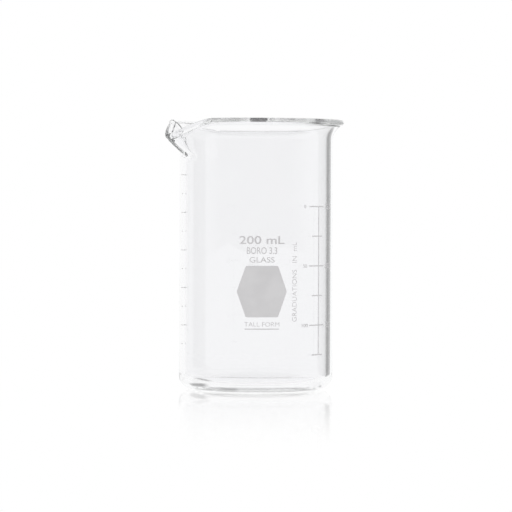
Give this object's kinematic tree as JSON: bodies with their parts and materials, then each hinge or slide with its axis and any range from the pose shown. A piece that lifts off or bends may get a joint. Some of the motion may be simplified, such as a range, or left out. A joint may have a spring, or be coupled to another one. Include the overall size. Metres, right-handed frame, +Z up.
{
  "type": "laboratory beaker",
  "caption": "Glass laboratory beaker with a flared rim, a pulled pouring spout, a writing patch and a printed volume scale.",
  "frame": {"origin": "on the vessel's axis, on the plane that its foot stands on", "axes": "+Z up along the vessel's axis; -Y is the printed front; the spout points 60 degrees round from the front, towards -X"},
  "size_m": [0.0695, 0.0674, 0.1015],
  "materials": {
    "vessel": "gloss",
    "patch_enamel": "matte",
    "print_enamel": "satin"
  },
  "bodies": {
    "root": {"glass_vessel": "vessel", "writing_patch": "patch_enamel", "capacity_mark": "print_enamel", "material_mark": "print_enamel", "type_mark": "print_enamel", "volume_note": "print_enamel", "main_scale": "print_enamel", "remaining_numerals": "print_enamel", "contained_numerals": "print_enamel", "second_scale": "print_enamel"}
  },
  "joints": []
}
